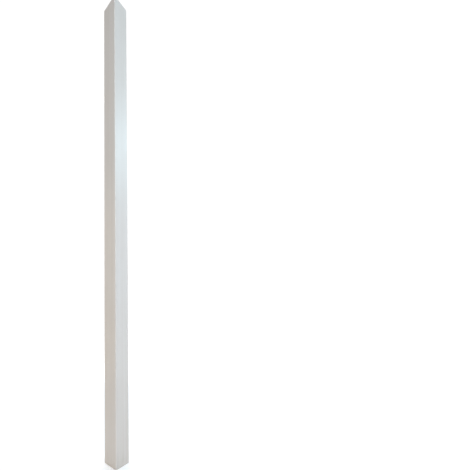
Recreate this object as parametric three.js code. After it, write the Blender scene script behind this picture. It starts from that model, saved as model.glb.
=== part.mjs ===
// Corner post for a demountable partition, one white plastic extrusion sawn to room height.
//
// Millimetres, +Z up. Seen from above, the post is a square tube whose four walls are drawn out
// past it in pairs. Two of them make a channel open toward +X, the other two a channel open
// toward +Y, and a partition panel slides into each. The tube's own walls are the channels'
// floors. The outer corner of the room wall is the post's corner toward -X and -Y.
// The origin is at the middle of the foot.

import * as THREE from 'three';

// Panels and the channels that take them
const panelThickness = 50;
const panelClearance = 0.5;
const channelDepth = 51.5;

// The extrusion
const wallThickness = 2.5;
const postHeight = 3000;

// Roundings, drawn by the die
const outerCornerRadius = 1.5;
const lipEdgeRadius = 0.5;
const channelFillet = 2;
const roomCornerFillet = 1;
const segmentsPerRounding = 6;

// Sizes that follow
const channelWidth = panelThickness + panelClearance;
const tubeSide = channelWidth + 2 * wallThickness;
const postWidth = tubeSide + channelDepth;
const lipEdge = Math.min(lipEdgeRadius, wallThickness / 2);
const nearFace = wallThickness;
const farFace = tubeSide - wallThickness;

// A corner of an outline: where its two straight sides would meet, and its rounding.
function corner(x, y, radius) {
  return { point: new THREE.Vector2(x, y), radius };
}

// The same corners mirrored in the line x = y, in the order that keeps the outline's direction.
function mirrored(corners) {
  return corners.map(({ point, radius }) => corner(point.y, point.x, radius)).reverse();
}

// Draws a closed outline through the corners, each turned on an arc that touches both sides.
function drawOutline(path, corners) {
  corners.forEach(({ point, radius }, index) => {
    const before = corners[(index + corners.length - 1) % corners.length].point;
    const after = corners[(index + 1) % corners.length].point;
    const arriving = point.clone().sub(before).normalize();
    const leaving = after.clone().sub(point).normalize();
    const start = point.clone().addScaledVector(arriving, -radius);
    const centre = start.clone().addScaledVector(leaving, radius);
    const end = point.clone().addScaledVector(leaving, radius);
    const startAngle = start.clone().sub(centre).angle();
    const endAngle = end.clone().sub(centre).angle();
    const turnsRight = arriving.cross(leaving) < 0;
    if (index === 0) {
      path.moveTo(start.x, start.y);
    } else {
      path.lineTo(start.x, start.y);
    }
    path.absarc(centre.x, centre.y, radius, startAngle, endAngle, turnsRight);
  });
  path.closePath();
  return path;
}

// The outside of the section, from the outer corner round to where it started.
function sectionOutline() {
  const outerCorner = corner(0, 0, outerCornerRadius);
  const channelTowardX = [
    corner(postWidth, 0, lipEdge),
    corner(postWidth, nearFace, lipEdge),
    corner(tubeSide, nearFace, channelFillet),
    corner(tubeSide, farFace, channelFillet),
    corner(postWidth, farFace, lipEdge),
    corner(postWidth, tubeSide, lipEdge),
  ];
  const roomCorner = corner(tubeSide, tubeSide, roomCornerFillet);
  return [outerCorner, ...channelTowardX, roomCorner, ...mirrored(channelTowardX)];
}

// The hollow of the tube, drawn the other way round.
function boreOutline() {
  return [
    corner(nearFace, nearFace, channelFillet),
    corner(nearFace, farFace, channelFillet),
    corner(farFace, farFace, channelFillet),
    corner(farFace, nearFace, channelFillet),
  ];
}

// One closed solid: the section drawn up to the post's height, cut square at both ends.
function cornerPost() {
  const section = drawOutline(new THREE.Shape(), sectionOutline());
  section.holes.push(drawOutline(new THREE.Path(), boreOutline()));
  const geometry = new THREE.ExtrudeGeometry(section, {
    depth: postHeight,
    bevelEnabled: false,
    curveSegments: segmentsPerRounding,
  });
  const whitePlastic = new THREE.MeshStandardMaterial({
    color: new THREE.Color().setRGB(0.85, 0.84, 0.815, THREE.SRGBColorSpace),
    roughness: 0.38,
    metalness: 0,
  });
  const post = new THREE.Mesh(geometry, whitePlastic);
  post.name = 'corner_post';
  post.position.set(-postWidth / 2, -postWidth / 2, 0);
  return post;
}

const group = new THREE.Group();
group.name = 'partition_corner_post';
group.add(cornerPost());

export default group;
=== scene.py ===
# %% [markdown]
# # A partition corner post
#
# The object is one white plastic extrusion, 3 m tall, that stands at the corner of a room made of
# wall panels. Seen from above it is a square tube whose four walls run on past it in pairs and make
# two channels at right angles, one for each wall's panel.
#
# The measured solid comes first. It is loaded as a fixed frame, and everything below is worked out
# from it, so the finished post can't drift away from its real size.

import math

import bpy
from mathutils import Matrix, Vector


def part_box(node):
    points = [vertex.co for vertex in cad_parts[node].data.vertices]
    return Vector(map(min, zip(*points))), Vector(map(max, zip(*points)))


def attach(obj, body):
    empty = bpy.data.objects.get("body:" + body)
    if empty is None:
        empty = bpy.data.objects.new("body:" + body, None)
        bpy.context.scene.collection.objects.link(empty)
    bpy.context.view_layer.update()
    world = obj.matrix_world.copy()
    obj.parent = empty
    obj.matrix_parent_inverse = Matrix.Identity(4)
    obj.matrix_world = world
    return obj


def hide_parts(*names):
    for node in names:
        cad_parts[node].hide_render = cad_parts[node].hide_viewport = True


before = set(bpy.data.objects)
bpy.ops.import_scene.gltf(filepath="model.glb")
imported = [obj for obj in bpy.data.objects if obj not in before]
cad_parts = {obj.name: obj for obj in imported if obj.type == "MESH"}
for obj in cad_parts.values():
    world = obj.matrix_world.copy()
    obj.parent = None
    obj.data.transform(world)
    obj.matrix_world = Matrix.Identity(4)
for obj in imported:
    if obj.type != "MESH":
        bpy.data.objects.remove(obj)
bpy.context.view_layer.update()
post_low, post_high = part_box("corner_post")
post_width = post_high.x - post_low.x
post_height = post_high.z - post_low.z
print(f"post {post_width:.3f} m wide and {post_height:.2f} m tall")

# %% [markdown]
# ## Two small helpers for node trees
#
# Geometry and shaders are both made of nodes here. Clicking them together is quick for one
# material, but a script of forty node and link calls is hard to read. So one class wraps a node's
# output and turns plain arithmetic into Math nodes, and another adds every other kind of node
# through one method. A line such as `1 - mask * 0.2` then says what it does.


# %% Sockets that can be added and multiplied
class Value:
    """A node's output. Arithmetic on it adds Math nodes to the tree that it belongs to."""

    def __init__(self, tree, socket):
        self.tree = tree
        self.socket = socket

    def math(self, operation, *others):
        """One Math node that takes this value first."""
        return self.tree.math(operation, self, *others)

    def __add__(self, other):
        return self.math("ADD", other)

    def __sub__(self, other):
        return self.math("SUBTRACT", other)

    def __rsub__(self, other):
        return self.tree.math("SUBTRACT", other, self)

    def __mul__(self, other):
        return self.math("MULTIPLY", other)

    def __neg__(self):
        return self * -1.0

    def __abs__(self):
        return self.math("ABSOLUTE")

    __radd__ = __add__
    __rmul__ = __mul__

    def ramp(self, start, end):
        """0 up to start, 1 past end and smooth between them. It falls where end is lower."""
        places = {"Value": self, "From Min": start, "From Max": end}
        return self.tree.add("ShaderNodeMapRange", {"interpolation_type": "SMOOTHSTEP"}, places)


print("a", Value.__name__, "can be added, subtracted, multiplied and ramped")


# %% Trees that take nodes
class Tree:
    """A node tree, with one method that adds any node and links it."""

    def __init__(self, nodes):
        self.nodes = nodes

    def add(self, kind, settings=None, sockets=None, output=0):
        """Settings are set first, because they decide which sockets the node has."""
        made = self.nodes.nodes.new(kind)
        for name, value in (settings or {}).items():
            setattr(made, name, value)
        for place, value in (sockets or {}).items():
            target = self.socket(made.inputs, place)
            if isinstance(value, Value):
                self.nodes.links.new(value.socket, target)
            else:
                target.default_value = value
        return Value(self, self.socket(made.outputs, output))

    def math(self, operation, *values):
        """One Math node with its values in order."""
        return self.add("ShaderNodeMath", {"operation": operation}, dict(enumerate(values)))

    def axes(self, vector):
        """A vector's X, Y and Z."""
        split = self.add("ShaderNodeSeparateXYZ", None, {"Vector": vector})
        return [Value(self, socket) for socket in split.socket.node.outputs]

    def join(self, *parts):
        """Joins geometry. One socket takes every part."""
        joined = self.nodes.nodes.new("GeometryNodeJoinGeometry")
        for part in parts:
            self.nodes.links.new(part.socket, joined.inputs[0])
        return Value(self, joined.outputs[0])

    @staticmethod
    def socket(sockets, place):
        """A socket by its place, or by its name among those that the node's settings leave in use."""
        if isinstance(place, int):
            return sockets[place]
        return next(s for s in sockets if s.name == place and s.enabled)


print("a", Tree.__name__, "adds any node and links it")

# %% [markdown]
# ## The section, drawn as a wire
#
# An extrusion is a drawing pulled through a die, so the natural first step is the die's own
# drawing: one outline for the outside and one for the tube's hollow. The section is the same on
# both sides of its diagonal. Only one half is written down, and the other half is its mirror image.
# Each corner also carries the radius that the die gives it, as an attribute on its vertex.

# %% Sizes of the section, in metres
WALL = 0.0025
CHANNEL_WIDTH = 0.0505
OUTER_CORNER_RADIUS = 0.0015
LIP_EDGE_RADIUS = 0.0005
CHANNEL_FILLET = 0.002
ROOM_CORNER_FILLET = 0.001

tube_side = CHANNEL_WIDTH + 2 * WALL
near_face = WALL
far_face = tube_side - WALL
print(f"tube {tube_side:.4f} m square, channels {post_width - tube_side:.4f} m deep")


# %% Corners of both outlines, as (x, y, radius) from the outer corner
def mirrored(corners):
    """The same corners on the other side of the diagonal, in the order that goes on round."""
    return [(y, x, radius) for x, y, radius in reversed(corners)]


channel_toward_x = [
    (post_width, 0.0, LIP_EDGE_RADIUS),
    (post_width, near_face, LIP_EDGE_RADIUS),
    (tube_side, near_face, CHANNEL_FILLET),
    (tube_side, far_face, CHANNEL_FILLET),
    (post_width, far_face, LIP_EDGE_RADIUS),
    (post_width, tube_side, LIP_EDGE_RADIUS),
]
outside = [
    (0.0, 0.0, OUTER_CORNER_RADIUS),
    *channel_toward_x,
    (tube_side, tube_side, ROOM_CORNER_FILLET),
    *mirrored(channel_toward_x),
]
hollow = [
    (near_face, near_face, CHANNEL_FILLET),
    (near_face, far_face, CHANNEL_FILLET),
    (far_face, far_face, CHANNEL_FILLET),
    (far_face, near_face, CHANNEL_FILLET),
]
print(len(outside), "corners outside and", len(hollow), "round the hollow")


# %% The wire mesh that carries them
def section_wire(*outlines):
    """Closed loops of edges on the floor, with each corner's radius in an attribute."""
    points, radii, edges = [], [], []
    for outline in outlines:
        first = len(points)
        for index, (x, y, radius) in enumerate(outline):
            points.append((post_low.x + x, post_low.y + y, post_low.z))
            radii.append(radius)
            edges.append((first + index, first + (index + 1) % len(outline)))
    wire = bpy.data.meshes.new("section_wire")
    wire.from_pydata(points, edges, [])
    rounding = wire.attributes.new("rounding", "FLOAT", "POINT")
    rounding.data.foreach_set("value", radii)
    return wire


post = bpy.data.objects.new("white_corner_post", section_wire(outside, hollow))
bpy.context.scene.collection.objects.link(post)
print("wire with", len(post.data.edges), "edges")

# %% [markdown]
# ## What both finishes are painted with
#
# The post has two finishes, the skin that the die leaves and the two sawn ends. Both could be flat
# colours, but then the post would look like a drawing of itself. Both are painted by position on
# the post instead, in metres, so a mark stays in place from every side.
#
# Soft noise gives every mark. What makes it a line, a cloud or a scuff is only how wide and how
# tall its patches are, so one function with those two sizes serves for all of them.

# %% A material that a tree can write to
PLASTIC_IOR = 1.53


def new_material(name):
    """A material with a Principled shader, its tree and its object coordinates."""
    material = bpy.data.materials.new(name)
    material.use_nodes = True
    tree = Tree(material.node_tree)
    shader = material.node_tree.nodes["Principled BSDF"]
    place = tree.add("ShaderNodeTexCoord", output="Object")
    return material, tree, shader, place


def finish(tree, shader, colour, rough, relief):
    """Links what changes over a surface. relief is a height in metres."""
    bump = tree.add("ShaderNodeBump", None, {"Distance": 1.0, "Height": relief})
    shader.inputs["IOR"].default_value = PLASTIC_IOR
    tree.nodes.links.new(colour.socket, shader.inputs["Base Color"])
    tree.nodes.links.new(rough.socket, shader.inputs["Roughness"])
    tree.nodes.links.new(bump.socket, shader.inputs["Normal"])


print("refractive index of the plastic", PLASTIC_IOR)


# %% Soft noise, and a mix of two colours
def patches(tree, place, across, along, detail=2.0, roughness=0.5):
    """Soft noise, 0 to 1. Its patches are about across wide and along tall, in metres."""
    spread = {"Vector": place, "Scale": (1.0 / across, 1.0 / across, 1.0 / along)}
    spread_place = tree.add("ShaderNodeMapping", {"vector_type": "POINT"}, spread)
    sockets = {"Vector": spread_place, "Scale": 1.0, "Detail": detail, "Roughness": roughness}
    return tree.add("ShaderNodeTexNoise", {"noise_dimensions": "3D"}, sockets)


def mix_colour(tree, factor, first, second):
    """first where factor is 0 and second where it is 1."""
    places = {"Factor": factor, "A": first, "B": second}
    return tree.add("ShaderNodeMix", {"data_type": "RGBA"}, places, output="Result")


print("brushes ready:", patches.__name__, "and", mix_colour.__name__)

# %% [markdown]
# ## Satin plastic, as it leaves the die
#
# The post is rigid plastic, off-white all through. It could be given one colour and one roughness,
# but a real extrusion is never that even. The die leaves lines along its whole length, some as fine
# as a hair and some a finger wide. The faces are a little wavy, so that a reflection swells and
# thins as it runs down them. Handling leaves soft scuffs, a trace of grey at the lips and the foot,
# and an outer corner rubbed dull. That corner is also painted paler, a painted highlight on its
# rounding.
#
# The lines and the waves could also be cut into the mesh. But the lines are some hundredths of a
# millimetre high and the waves a few tenths, so a bump shows them as well and the mesh stays flat.

# %% Colours of the extruded faces
PLASTIC = (0.706, 0.690, 0.660, 1.0)
PLASTIC_WARM = (0.670, 0.644, 0.606, 1.0)
PLASTIC_SOILED = (0.520, 0.490, 0.440, 1.0)
# A paler colour along the outer corner: a painted highlight on its rounding
PAINTED_CORNER_HIGHLIGHT = (0.800, 0.770, 0.735, 1.0)
print("plastic runs from", PLASTIC[:3], "to", PLASTIC_WARM[:3])

# %% Patches: how wide and how tall, in metres, and how fine they break up
DIE_LINES = {"across": 0.0024, "along": 1.6, "detail": 3.0}
BROAD_LINES = {"across": 0.014, "along": 2.4}
CLOUDS = {"across": 0.14, "along": 0.41, "detail": 3.0}
WAVES = {"across": 0.09, "along": 0.30, "detail": 1.0}
SCUFFS = {"across": 0.0167, "along": 0.093, "detail": 4.0, "roughness": 0.65}

# Where in its noise each mark starts to show, and where it is whole
SCUFFS_SHOW = (0.62, 0.80)
LIP_SOIL_SHOWS = (0.35, 0.70)
FOOT_SOIL_SHOWS = (0.40, 0.75)
CORNER_HIGHLIGHT_AND_RUB_SHOWS = (0.15, 0.55)
CLOUDS_SHOW = (0.30, 0.72)
BROAD_LINES_SHOW = (0.30, 0.70)
print("die lines", DIE_LINES["across"], "m wide, clouds", CLOUDS["across"], "m wide")

# %% Marks: how far they reach and how high they stand, in metres
LIP_SOIL_REACH = 0.010
FOOT_SOIL_REACH = 0.16
# How far the painted highlight and the rub reach from the outer corner
CORNER_HIGHLIGHT_AND_RUB_REACH = 0.008
WAVE_HEIGHT = 0.0011
DIE_LINE_HEIGHT = 0.00004
SCUFF_HEIGHT = 0.000024

# How much each mark shows in the colour, from 0 to 1
LIP_SOIL = 0.22
FOOT_SOIL = 0.30
SCUFF_SOIL = 0.10
# How much of the painted corner highlight shows; the same mask dulls the rubbed corner
CORNER_HIGHLIGHT_AND_RUB = 0.75
CLOUD_WARMS = 0.40
BROAD_LINE_WARMS = 0.60

# Roughness of clean plastic, and what each mark adds to it
SATIN = 0.33
CLOUD_DULLS = 0.08
DIE_LINE_DULLS = 0.05
SCUFF_DULLS = 0.16
SOIL_DULLS = 0.12
print("soil reaches", FOOT_SOIL_REACH, "m up the foot")


# %% The finish of the extruded faces
def extruded_plastic():
    material, tree, shader, place = new_material("white_plastic_extruded")
    x, y, z = tree.axes(place)
    die_lines = patches(tree, place, **DIE_LINES)
    broad_lines = patches(tree, place, **BROAD_LINES)
    cloud = patches(tree, place, **CLOUDS)
    wave = patches(tree, place, **WAVES)
    scuff_field = patches(tree, place, **SCUFFS)
    scuffs = scuff_field.ramp(*SCUFFS_SHOW)

    # The lips are where X or Y is greatest, and the outer corner is where both are least
    farther = x.math("MAXIMUM", y)
    from_lip = abs(farther - post_high.x)
    from_outer_corner = farther - post_low.x
    lip_soil = from_lip.ramp(LIP_SOIL_REACH, 0.0) * cloud.ramp(*LIP_SOIL_SHOWS)
    foot_soil = z.ramp(FOOT_SOIL_REACH, 0.0) * scuff_field.ramp(*FOOT_SOIL_SHOWS)
    soil = lip_soil * LIP_SOIL + foot_soil * FOOT_SOIL + scuffs * SCUFF_SOIL
    # Along the outer corner the colour is painted paler as a painted highlight, and the rub raises the
    # roughness
    near_corner = from_outer_corner.ramp(CORNER_HIGHLIGHT_AND_RUB_REACH, 0.0)
    corner_highlight_and_rub = near_corner * cloud.ramp(*CORNER_HIGHLIGHT_AND_RUB_SHOWS) * CORNER_HIGHLIGHT_AND_RUB

    warm_clouds = cloud.ramp(*CLOUDS_SHOW) * CLOUD_WARMS
    warm_lines = broad_lines.ramp(*BROAD_LINES_SHOW) * BROAD_LINE_WARMS
    colour = mix_colour(tree, warm_clouds + warm_lines, PLASTIC, PLASTIC_WARM)
    colour = mix_colour(tree, corner_highlight_and_rub, colour, PAINTED_CORNER_HIGHLIGHT)
    colour = mix_colour(tree, soil, colour, PLASTIC_SOILED)
    dulled = cloud * CLOUD_DULLS + die_lines * DIE_LINE_DULLS + scuffs * SCUFF_DULLS
    rough = SATIN + dulled + (foot_soil + corner_highlight_and_rub) * SOIL_DULLS
    relief = wave * WAVE_HEIGHT + die_lines * DIE_LINE_HEIGHT + scuffs * SCUFF_HEIGHT
    finish(tree, shader, colour, rough, relief)
    return material


face_finish = extruded_plastic()
print(face_finish.name, "has", len(face_finish.node_tree.nodes), "nodes")

# %% [markdown]
# ## The sawn ends
#
# Both ends are cut square with a circular saw. The cut face is the same plastic, but matt and a
# little lighter, with fine arcs left by the blade. A wave texture with rings could draw arcs, but
# its rings start at the post's own middle. These belong to a circle far larger than the post, so
# they are made from the distance to the blade's centre, which lies well outside the section.

# %% Colours and marks of the sawn rims, in metres
SAWN_PLASTIC = (0.790, 0.765, 0.715, 1.0)
SAWN_SHADE = (0.700, 0.670, 0.610, 1.0)
UNEVEN = {"across": 0.011, "along": 0.011}
GRAIN = {"across": 0.0004, "along": 0.0004}
GRAIN_HEIGHT = 0.000029

# Where in the uneven noise the shade starts to show and where it is whole, and its share
SHADE_SHOWS = (0.3, 0.8)
SHADE = 0.5

# How far past the section the blade's centre lies, and how far apart its teeth mark the cut
BLADE_CENTRE_PAST_X = 0.090
BLADE_CENTRE_PAST_Y = 0.075
TOOTH_MARK = 0.0011
TOOTH_MARK_HEIGHT = 0.000024

# How far the arcs stray from true circles, where one tooth mark is a turn of 2 pi
ARCS_STRAY = 4.0

# Roughness of the cut, and what its grain adds to it
SAWN_ROUGHNESS = 0.58
GRAIN_DULLS = 0.12
print("tooth marks", TOOTH_MARK, "m apart")


# %% The finish of the sawn rims
def sawn_plastic():
    material, tree, shader, place = new_material("white_plastic_sawn")
    blade_centre = (post_high.x + BLADE_CENTRE_PAST_X, post_low.y - BLADE_CENTRE_PAST_Y, 0.0)
    only_xy = {0: place, 1: (1.0, 1.0, 0.0)}
    flat = tree.add("ShaderNodeVectorMath", {"operation": "MULTIPLY"}, only_xy)
    between = {0: flat, 1: blade_centre}
    reach = tree.add("ShaderNodeVectorMath", {"operation": "DISTANCE"}, between, output="Value")
    uneven = patches(tree, place, **UNEVEN)
    grain = patches(tree, place, **GRAIN)
    arcs = (reach * (2 * math.pi / TOOTH_MARK) + uneven * ARCS_STRAY).math("SINE")

    colour = mix_colour(tree, uneven.ramp(*SHADE_SHOWS) * SHADE, SAWN_PLASTIC, SAWN_SHADE)
    rough = SAWN_ROUGHNESS + grain * GRAIN_DULLS
    relief = arcs * TOOTH_MARK_HEIGHT + grain * GRAIN_HEIGHT
    finish(tree, shader, colour, rough, relief)
    return material


end_finish = sawn_plastic()
print(end_finish.name, "has", len(end_finish.node_tree.nodes), "nodes")

# %% [markdown]
# ## Pulling the section up
#
# The tree does what the die and the saw do. It rounds every corner by its own radius, sweeps the
# wall's tall side view round the rounded outlines, and closes both ends with the section itself,
# pulled in a little so that the sawn edges are broken and catch the light. A Bevel modifier could
# break those edges too, but on a face with a hollow it leaves slivers. Sweeping the side view
# round the outline gives clean quads all the way.

# %% The sizes and finishes that the tree asks for
TREE_INPUTS = {
    "Geometry": "NodeSocketGeometry",
    "Height": "NodeSocketFloat",
    "Broken edge": "NodeSocketFloat",
    "Steps per rounding": "NodeSocketInt",
    "Face finish": "NodeSocketMaterial",
    "End finish": "NodeSocketMaterial",
}
# Points that the skin and the end faces share lie closer than this, in metres
MERGE_DISTANCE = 0.00002
# A face belongs to a sawn end if its normal leans this far up or down
END_FACES_UP = 0.5
print("inputs:", ", ".join(TREE_INPUTS))


# %% The skin: the outlines rounded, and the wall's side view swept round them
def rounded_outlines(tree, wire, steps):
    """Curves with each corner rounded by the radius that its vertex carries."""
    outline = tree.add("GeometryNodeMeshToCurve", None, {"Mesh": wire})
    by_name = {"Name": "rounding"}
    radius = tree.add("GeometryNodeInputNamedAttribute", {"data_type": "FLOAT"}, by_name)
    places = {"Curve": outline, "Count": steps, "Radius": radius}
    rounded = tree.add("GeometryNodeFilletCurve", {"mode": "POLY"}, places)
    return tree.add("GeometryNodeSetCurveNormal", {"mode": "Z_UP"}, {"Curve": rounded})


def swept_skin(tree, rounded, height, edge):
    """Plumb walls, with both of their ends drawn in by the broken edge."""

    def side_point(inward, up):
        """Swept round an outline, the side view's X points outward and its Y down."""
        return tree.add("ShaderNodeCombineXYZ", None, {"X": -inward, "Y": -up})

    corners = {
        "Point 1": side_point(edge, 0.0),
        "Point 2": side_point(0.0, edge),
        "Point 3": side_point(0.0, height - edge),
        "Point 4": side_point(edge, height),
    }
    side = tree.add("GeometryNodeCurvePrimitiveQuadrilateral", {"mode": "POINTS"}, corners)
    side = tree.add("GeometryNodeSetSplineCyclic", None, {"Geometry": side, "Cyclic": False})
    skin = tree.add("GeometryNodeCurveToMesh", None, {"Curve": rounded, "Profile Curve": side})
    return tree.add("GeometryNodeFlipFaces", None, {"Mesh": skin})


print("skin from", rounded_outlines.__name__, "and", swept_skin.__name__)


# %% The sawn ends, and a finish for each kind of face
def sawn_ends(tree, rounded, height, edge):
    """The section itself at the foot and at the head, drawn in to meet the broken edges."""
    outward = tree.add("GeometryNodeInputNormal")
    pull = tree.add("ShaderNodeVectorMath", {"operation": "SCALE"}, {"Vector": outward, "Scale": -edge})
    drawn_in = tree.add("GeometryNodeSetPosition", None, {"Geometry": rounded, "Offset": pull})
    face = tree.add("GeometryNodeFillCurve", {"mode": "NGONS"}, {"Curve": drawn_in})
    lift = tree.add("ShaderNodeCombineXYZ", None, {"Z": height})
    head = tree.add("GeometryNodeTransform", None, {"Geometry": face, "Translation": lift})
    foot = tree.add("GeometryNodeFlipFaces", None, {"Mesh": face})
    return head, foot


def finished_faces(tree, whole, face_finish, end_finish):
    """The sawn finish on whatever faces up or down, and the extruded one on the rest."""
    everywhere = {"Geometry": whole, "Material": face_finish}
    whole = tree.add("GeometryNodeSetMaterial", None, everywhere)
    up = tree.axes(tree.add("GeometryNodeInputNormal"))[2]
    limit = {"A": abs(up), "B": END_FACES_UP}
    is_end = tree.add("FunctionNodeCompare", {"operation": "GREATER_THAN"}, limit)
    ends_only = {"Geometry": whole, "Selection": is_end, "Material": end_finish}
    return tree.add("GeometryNodeSetMaterial", None, ends_only)


print("ends from", sawn_ends.__name__, "and", finished_faces.__name__)


# %% The tree that builds the post
def post_tree():
    group = bpy.data.node_groups.new("corner_post_from_section", "GeometryNodeTree")
    for name, kind in TREE_INPUTS.items():
        group.interface.new_socket(name, in_out="INPUT", socket_type=kind)
    group.interface.new_socket("Geometry", in_out="OUTPUT", socket_type="NodeSocketGeometry")
    tree = Tree(group)

    given = group.nodes.new("NodeGroupInput")
    entry = {s.name: Value(tree, s) for s in given.outputs if s.name}
    height, edge = entry["Height"], entry["Broken edge"]
    rounded = rounded_outlines(tree, entry["Geometry"], entry["Steps per rounding"])
    skin = swept_skin(tree, rounded, height, edge)
    whole = tree.join(skin, *sawn_ends(tree, rounded, height, edge))
    close = {"Geometry": whole, "Distance": MERGE_DISTANCE}
    whole = tree.add("GeometryNodeMergeByDistance", None, close)
    whole = tree.add("GeometryNodeRealizeInstances", None, {"Geometry": whole})
    whole = finished_faces(tree, whole, entry["Face finish"], entry["End finish"])
    result = group.nodes.new("NodeGroupOutput")
    group.links.new(whole.socket, result.inputs[0])
    return group


growth = post.modifiers.new("section to post", "NODES")
growth.node_group = post_tree()
print("tree of", len(growth.node_group.nodes), "nodes")

# %% Give the tree its sizes
BROKEN_EDGE = 0.0003
STEPS_PER_ROUNDING = 10


def set_input(modifier, name, value):
    """A modifier's inputs go by their sockets' identifiers, not by their names."""
    sockets = modifier.node_group.interface.items_tree
    socket = next(s for s in sockets if s.name == name and s.in_out == "INPUT")
    modifier[socket.identifier] = value


set_input(growth, "Height", post_height)
set_input(growth, "Broken edge", BROKEN_EDGE)
set_input(growth, "Steps per rounding", STEPS_PER_ROUNDING)
set_input(growth, "Face finish", face_finish)
set_input(growth, "End finish", end_finish)
print(f"edges broken by {BROKEN_EDGE:.4f} m, {STEPS_PER_ROUNDING} steps per rounding")

# %% [markdown]
# ## Keeping the flats flat
#
# Each flat face shares its corners with the small faces of a rounding, and smooth shading blends
# the two. On a flat 3 m tall, that blend would run its whole height and bend every reflection.
# Marking the edges between them sharp would keep the flats flat, but leave a faint crease where
# each rounding starts. A Weighted Normal modifier does better: it lets the largest face at a corner
# decide which way the surface leans there, so the flats shade flat and the roundings carry the
# whole turn.

# %% Run both modifiers once and keep the mesh
flats = post.modifiers.new("flats stay flat", "WEIGHTED_NORMAL")
flats.mode = "FACE_AREA"

bpy.context.view_layer.update()
evaluated = post.evaluated_get(bpy.context.evaluated_depsgraph_get())
finished = bpy.data.meshes.new_from_object(evaluated)
post.modifiers.clear()
# The wire's own slot comes first, and it is empty
finished.materials.pop(index=0)
post.data = finished
finishes = " and ".join(material.name for material in finished.materials)
print(len(finished.vertices), "vertices and", len(finished.polygons), "faces in", finishes)

# %% [markdown]
# ## The floor
#
# The studio is as plain as it can be: a pale floor that runs out to a white surround. A floor that
# is only lit turns grey where the lamps end, and then a horizon shows behind the post. So the floor
# glows of its own. It glows least near the post, where a faint shadow still shows at the foot, and
# most far away, where it meets the surround as white. What it throws back at the post is set apart
# from what the camera sees, because a real floor would light the foot of the post warmly.

# %% The floor's sizes in metres, and its colours
FLOOR_SIDE = 80.0
FLOOR_GAP = 0.0002
FLOOR_FADE = (1.0, 4.0)
FLOOR_DRIFT = {"across": 1.25, "along": 1.25}
FLOOR_COLOURS = (0.90, 0.90, 0.90, 1.0), (0.93, 0.93, 0.93, 1.0)
FLOOR_GLOW_NEAR = (0.38, 0.38, 0.38, 1.0)
FLOOR_GLOW_FAR = (1.0, 1.0, 1.0, 1.0)
FLOOR_GLOW_ON_POST = (0.34, 0.235, 0.155, 1.0)
FLOOR_ROUGHNESS = 0.9
print("floor whitens from", FLOOR_FADE[0], "to", FLOOR_FADE[1], "m away")


# %% A pale floor
def floor_finish():
    material, tree, shader, place = new_material("pale_floor")
    colour = mix_colour(tree, patches(tree, place, **FLOOR_DRIFT), *FLOOR_COLOURS)
    distance = tree.add("ShaderNodeVectorMath", {"operation": "LENGTH"}, {0: place}, output="Value")
    near_to_far = mix_colour(tree, distance.ramp(*FLOOR_FADE), FLOOR_GLOW_NEAR, FLOOR_GLOW_FAR)
    seen = tree.add("ShaderNodeLightPath", output="Is Camera Ray")
    glow = mix_colour(tree, seen, FLOOR_GLOW_ON_POST, near_to_far)
    tree.nodes.links.new(colour.socket, shader.inputs["Base Color"])
    tree.nodes.links.new(glow.socket, shader.inputs["Emission Color"])
    shader.inputs["Emission Strength"].default_value = 1.0
    shader.inputs["Roughness"].default_value = FLOOR_ROUGHNESS
    return material


half = FLOOR_SIDE / 2
floor_corners = [(-half, -half, 0.0), (half, -half, 0.0), (half, half, 0.0), (-half, half, 0.0)]
floor_mesh = bpy.data.meshes.new("floor")
floor_mesh.from_pydata(floor_corners, [], [(0, 1, 2, 3)])
floor_mesh.materials.append(floor_finish())
floor = bpy.data.objects.new("studio_floor", floor_mesh)
floor.location.z = post_low.z - FLOOR_GAP
bpy.context.scene.collection.objects.link(floor)
print(f"floor {FLOOR_SIDE:.0f} m square")

# %% [markdown]
# ## The lamps
#
# A tall, plain post shows its form by light alone. One soft box in front could light it, but then
# both outer faces would look alike. So a cool one on the right and a weaker, warm one on the left
# join it, and the corner between the faces reads from top to bottom. One small lamp makes the glint
# in the upper part of the right face. Four more light the room's side: a small key lamp that throws
# one wall's shadow into a channel, a wide cool one beside it, a fill for the other channel, and a
# soft one over the head. Each stands at an angle round the post, in degrees from +X.


# %% A soft box
def soft_box(name, angle, distance, height, aim, size, watts, colour):
    """A rectangular lamp that faces the post's axis at the height aim and isn't seen itself."""
    data = bpy.data.lights.new(name, "AREA")
    data.shape = "RECTANGLE"
    data.size, data.size_y = size
    data.energy = watts
    data.color = colour
    turn = math.radians(angle)
    place = Vector((distance * math.cos(turn), distance * math.sin(turn), height))
    lamp = bpy.data.objects.new(name, data)
    lamp.location = place
    lamp.rotation_euler = (Vector((0.0, 0.0, aim)) - place).to_track_quat("-Z", "Y").to_euler()
    lamp.visible_camera = False
    bpy.context.scene.collection.objects.link(lamp)
    print(f"{name}: {watts:.0f} W")


# %% Lamps for the two outer faces
FRONT_DISTANCE = 2.3
TALL_BOX = (1.2, 2.8)

soft_box(
    "tall_front", angle=225, distance=FRONT_DISTANCE, height=2.5, aim=1.8,
    size=(1.2, 3.0), watts=43.2, colour=(0.762, 0.88, 1.0),
)
soft_box(
    "tall_right", angle=315, distance=FRONT_DISTANCE, height=1.5, aim=1.5,
    size=TALL_BOX, watts=25.8, colour=(0.775, 0.876, 1.0),
)
soft_box(
    "tall_left", angle=135, distance=FRONT_DISTANCE, height=1.5, aim=1.5,
    size=TALL_BOX, watts=13.6, colour=(1.0, 0.838, 0.647),
)
soft_box(
    "glint", angle=311.5, distance=FRONT_DISTANCE, height=3.7, aim=2.0,
    size=(0.8, 0.8), watts=20.6, colour=(0.636, 0.888, 1.0),
)

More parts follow.
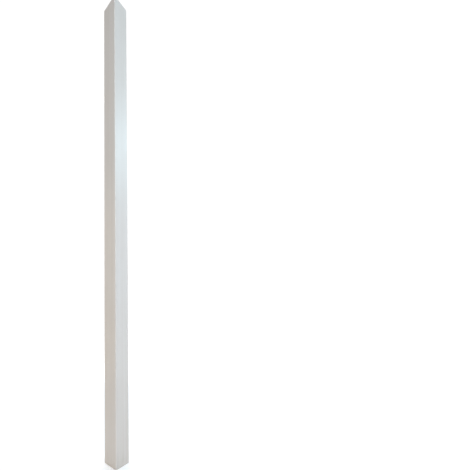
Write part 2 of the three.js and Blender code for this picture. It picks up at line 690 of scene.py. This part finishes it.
# %% Lamps for the channels and the head
soft_box(
    "room_key", angle=76, distance=2.47, height=4.8, aim=2.2,
    size=(0.25, 0.25), watts=23.0, colour=(1.0, 0.87, 0.85),
)
soft_box(
    "room_window", angle=82, distance=3.0, height=2.6, aim=2.2,
    size=(1.6, 2.4), watts=19.0, colour=(0.48, 0.80, 1.0),
)
soft_box(
    "room_fill", angle=40, distance=3.1, height=1.1, aim=0.9,
    size=(2.0, 1.8), watts=24.0, colour=(0.86, 0.93, 1.0),
)
soft_box(
    "overhead", angle=45, distance=1.0, height=5.3, aim=3.0,
    size=(1.0, 1.0), watts=48.0, colour=(1.0, 0.98, 0.97),
)

# %% [markdown]
# ## The white surround
#
# Behind the post there is nothing but white. A white sheet could stand there, but it would have to
# be huge, and from another side it would be in the way. A white world does as well. Light as strong
# as that from all sides would flatten the post, so a Light Path node tells the camera's own rays
# from all others: they see white, and the post gets only a little of it.

# %% White as seen, and faint as light
AIR_SEEN = 1.05
AIR_ON_POST = 0.10

world = bpy.data.worlds.new("studio")
bpy.context.scene.world = world
world.use_nodes = True
air = Tree(world.node_tree)
seen = air.add("ShaderNodeLightPath", output="Is Camera Ray")
strength = seen * AIR_SEEN + (1 - seen) * AIR_ON_POST
backdrop = world.node_tree.nodes["Background"]
backdrop.inputs["Color"].default_value = (1.0, 1.0, 1.0, 1.0)
world.node_tree.links.new(strength.socket, backdrop.inputs["Strength"])
bpy.context.scene.view_settings.view_transform = "Standard"
bpy.context.scene.view_settings.look = "None"
print("surround", AIR_SEEN, "as seen and", AIR_ON_POST, "on the post")

# %% [markdown]
# ## The camera
#
# The photographer stood about 1.4 m from the post's outer corner, with the camera at waist height
# and a wide lens, so the whole post fits in. How steeply the outline slants at the head and at the
# foot gives the distance and the height, and how fast the sides draw together gives the tilt. The
# post is left of the picture's middle, which a shift of the lens does without turning the camera.

# %% Where the photographer stood, in metres and degrees
STAND_OFF = 1.389
SIDE_STEP = 0.086
EYE_HEIGHT = 0.897
TURN = math.radians(44.20)
TILT = math.radians(2.53)
ROLL = math.radians(-0.31)

# The lens, in the picture's pixels. Its axis meets the picture at AXIS_PIXEL.
PICTURE_SIDE = 470
FOCAL_PIXELS = 228.0
AXIS_PIXEL = (126.4, 309.0)

# The sensor, in millimetres
SENSOR_WIDTH = 36.0

lens = bpy.data.cameras.new("photographer")
lens.sensor_width = SENSOR_WIDTH
lens.lens = FOCAL_PIXELS / PICTURE_SIDE * SENSOR_WIDTH
lens.shift_x = 0.5 - AXIS_PIXEL[0] / PICTURE_SIDE
lens.shift_y = AXIS_PIXEL[1] / PICTURE_SIDE - 0.5
print(f"lens {lens.lens:.1f} mm")

# %% Put the camera there
outer_corner = Vector((post_low.x, post_low.y, 0.0))
toward_post = Vector((1.0, 1.0, 0.0)).normalized()
sideways = Vector((1.0, -1.0, 0.0)).normalized()
camera = bpy.data.objects.new("photographer", lens)
camera.location = outer_corner - toward_post * STAND_OFF + sideways * SIDE_STEP
camera.location.z = EYE_HEIGHT
turned = Matrix.Rotation(-TURN, 3, "Z") @ Matrix.Rotation(math.pi / 2 + TILT, 3, "X")
camera.rotation_euler = (turned @ Matrix.Rotation(ROLL, 3, "Z")).to_euler()
bpy.context.scene.collection.objects.link(camera)
bpy.context.scene.camera = camera
print(f"camera {STAND_OFF:.2f} m from the corner and {EYE_HEIGHT:.2f} m up")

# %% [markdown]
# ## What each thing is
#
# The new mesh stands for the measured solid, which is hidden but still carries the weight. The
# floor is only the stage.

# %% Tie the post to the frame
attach(post, "root")
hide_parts("corner_post")
print(post.name, "rides on root")
